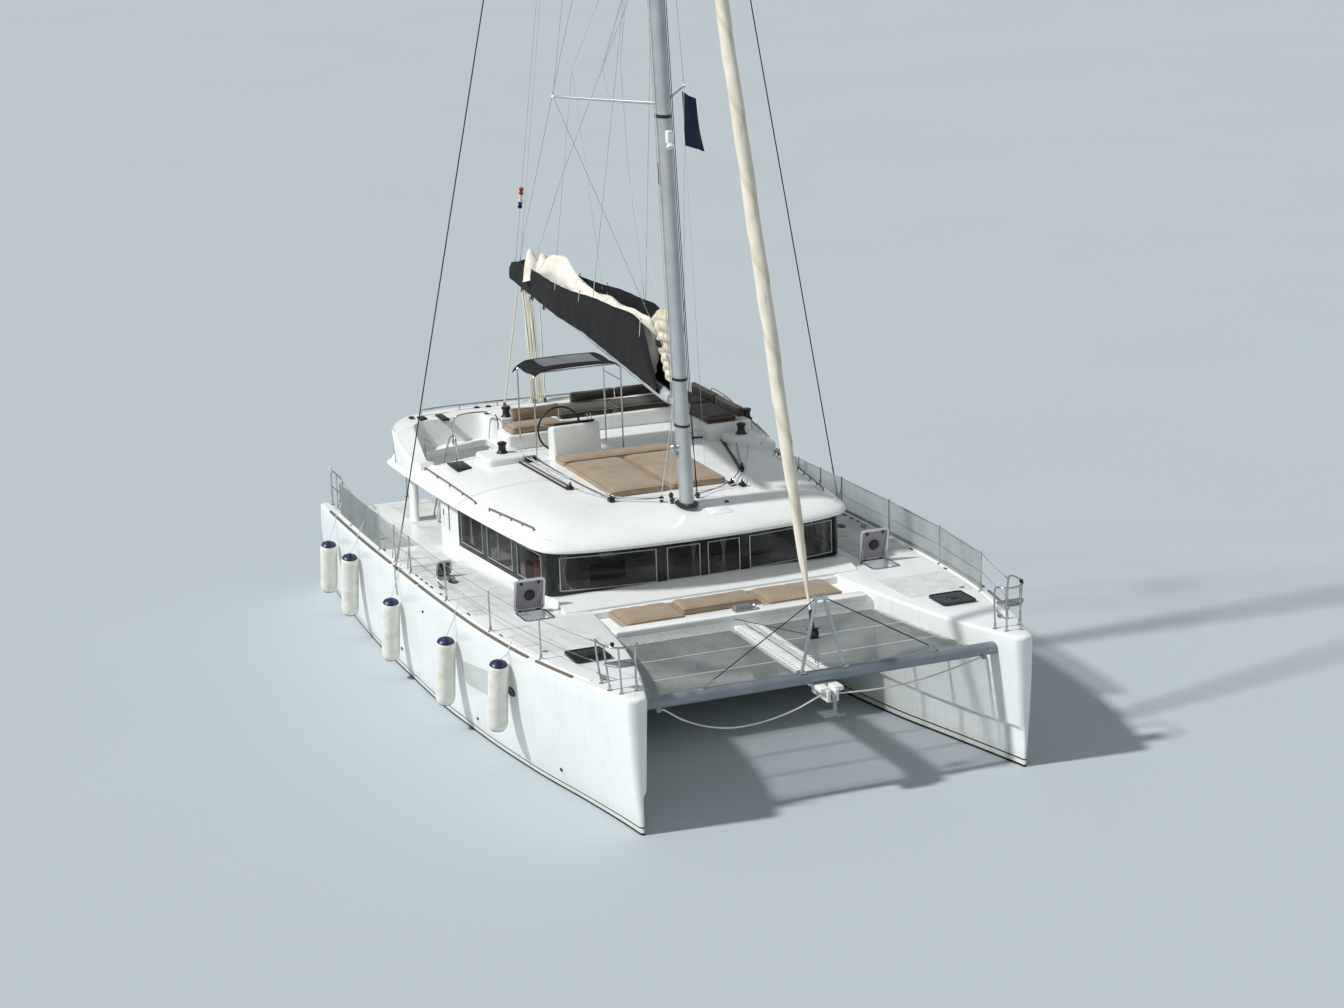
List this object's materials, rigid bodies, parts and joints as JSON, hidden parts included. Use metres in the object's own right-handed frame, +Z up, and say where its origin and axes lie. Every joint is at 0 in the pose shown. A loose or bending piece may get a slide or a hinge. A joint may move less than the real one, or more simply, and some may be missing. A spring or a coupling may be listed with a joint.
{
  "type": "sailing catamaran",
  "caption": "Cruising sailing catamaran with flybridge, twin hulls and keels, furled sails, open deck hatches, side fenders and swinging boom.",
  "frame": {"origin": "amidships on the centreline at the waterline", "axes": "+X to the bows, +Y to port, +Z up"},
  "size_m": [13.96, 8.1582, 24.1],
  "materials": {
    "gelcoat": "polished gelcoat",
    "antifouling": "matt antifouling",
    "aluminium": "anodised",
    "stainless": "polished stainless steel",
    "glass": "tinted",
    "acrylic": "tinted acrylic",
    "canvas": "acrylic canvas",
    "sailcloth": "sailcloth",
    "tan_cushion": "woven outdoor fabric",
    "dark_cushion": "woven outdoor fabric",
    "netting": "polyester net",
    "rope": "braided",
    "black_plastic": "satin",
    "fender_vinyl": "satin vinyl"
  },
  "bodies": {
    "boat": {"hull_port": "gelcoat", "hull_starboard": "gelcoat", "keel_port": "antifouling", "keel_starboard": "antifouling", "sail_drive_port": "black_plastic", "sail_drive_starboard": "black_plastic", "bridgedeck": "gelcoat", "saloon_walls": "gelcoat", "saloon_glazing": "glass", "aft_bulkhead": "gelcoat", "coachroof": "gelcoat", "hardtop_post_port": "gelcoat", "hardtop_post_starboard": "gelcoat", "lounge_cushions": "dark_cushion", "helm_seat": "tan_cushion", "sunpad": "tan_cushion", "helm_console": "gelcoat", "bimini_frame": "stainless", "bimini_top": "canvas", "cockpit_seat": "tan_cushion", "cockpit_table": "gelcoat", "forward_cushion": "tan_cushion", "crossbeam": "aluminium", "striker": "stainless", "centre_beam": "gelcoat", "anchor": "stainless", "windlass": "black_plastic", "trampoline_port": "netting", "trampoline_starboard": "netting", "mast": "aluminium", "diamond_stay_port": "stainless", "diamond_stay_starboard": "stainless", "luff_stack": "sailcloth", "furled_genoa": "sailcloth", "shroud_port": "black_plastic", "shroud_starboard": "black_plastic", "guardrail_port": "stainless", "guardrail_starboard": "stainless", "fender_1": "fender_vinyl", "fender_2": "fender_vinyl", "fender_3": "fender_vinyl", "fender_4": "fender_vinyl", "fender_5": "fender_vinyl", "mooring_bridle_starboard": "rope", "mooring_bridle_port": "rope"},
    "main_boom": {"boom": "aluminium", "mainsail_bag": "canvas"},
    "wheel": {"steering_wheel": "stainless"},
    "port_rudder": {"rudder_port": "antifouling"},
    "starboard_rudder": {"rudder_starboard": "antifouling"},
    "port_propeller": {"propeller_port": "aluminium"},
    "starboard_propeller": {"propeller_starboard": "aluminium"},
    "cabin_door": {"saloon_door": "aluminium"},
    "port_bow_lid": {"bow_hatch_port": "acrylic"},
    "starboard_bow_lid": {"bow_hatch_starboard": "acrylic"},
    "port_deck_lid": {"deck_hatch_port": "acrylic"},
    "starboard_deck_lid": {"deck_hatch_starboard": "acrylic"},
    "small_lid": {"small_hatch_starboard": "acrylic"}
  },
  "joints": [
    {"name": "boom_swing", "type": "hinge", "parent": "boat", "child": "main_boom", "pos_m": [1.215, 0, 4.6], "axis": [0, 0, 1], "range_deg": [-52, 52]},
    {"name": "wheel_turn", "type": "hinge", "parent": "boat", "child": "wheel", "pos_m": [-2.31, -0.65, 3.5], "axis": [1, 0, 0], "range_deg": [-540, 540]},
    {"name": "rudder_turn_port", "type": "hinge", "parent": "boat", "child": "port_rudder", "pos_m": [-6.06, 2.88, -0.5], "axis": [0, 0, 1], "range_deg": [-35, 35]},
    {"name": "rudder_turn_starboard", "type": "hinge", "parent": "boat", "child": "starboard_rudder", "pos_m": [-6.06, -2.88, -0.5], "axis": [0, 0, 1], "range_deg": [-35, 35]},
    {"name": "propeller_turn_port", "type": "hinge", "parent": "boat", "child": "port_propeller", "pos_m": [-4.74, 2.88, -0.9], "axis": [1, 0, 0], "continuous": true},
    {"name": "propeller_turn_starboard", "type": "hinge", "parent": "boat", "child": "starboard_propeller", "pos_m": [-4.74, -2.88, -0.9], "axis": [1, 0, 0], "continuous": true},
    {"name": "saloon_door_slide", "type": "slide", "parent": "boat", "child": "cabin_door", "axis": [0, -1, 0], "range_m": [0, 1.3]},
    {"name": "bow_hatch_port_open", "type": "hinge", "parent": "boat", "child": "port_bow_lid", "pos_m": [4.59, 2.91, 1.9819], "axis": [0, -1, 0], "range_deg": [0, 80]},
    {"name": "bow_hatch_starboard_open", "type": "hinge", "parent": "boat", "child": "starboard_bow_lid", "pos_m": [4.59, -2.91, 1.9819], "axis": [0, -1, 0], "range_deg": [0, 80]},
    {"name": "deck_hatch_port_open", "type": "hinge", "parent": "boat", "child": "port_deck_lid", "pos_m": [2.235, 2.87, 1.9351], "axis": [0, -1, 0], "range_deg": [-78, 5]},
    {"name": "deck_hatch_starboard_open", "type": "hinge", "parent": "boat", "child": "starboard_deck_lid", "pos_m": [2.235, -2.87, 1.9351], "axis": [0, -1, 0], "range_deg": [-78, 5]},
    {"name": "small_hatch_open", "type": "hinge", "parent": "boat", "child": "small_lid", "pos_m": [-0.33, -3.39, 1.8829], "axis": [0, -1, 0], "range_deg": [-72, 8]}
  ],
  "couplings": [
    {"joint": "rudder_turn_port", "follows": "wheel_turn", "ratio": 0.0648},
    {"joint": "rudder_turn_starboard", "follows": "wheel_turn", "ratio": 0.0648}
  ]
}
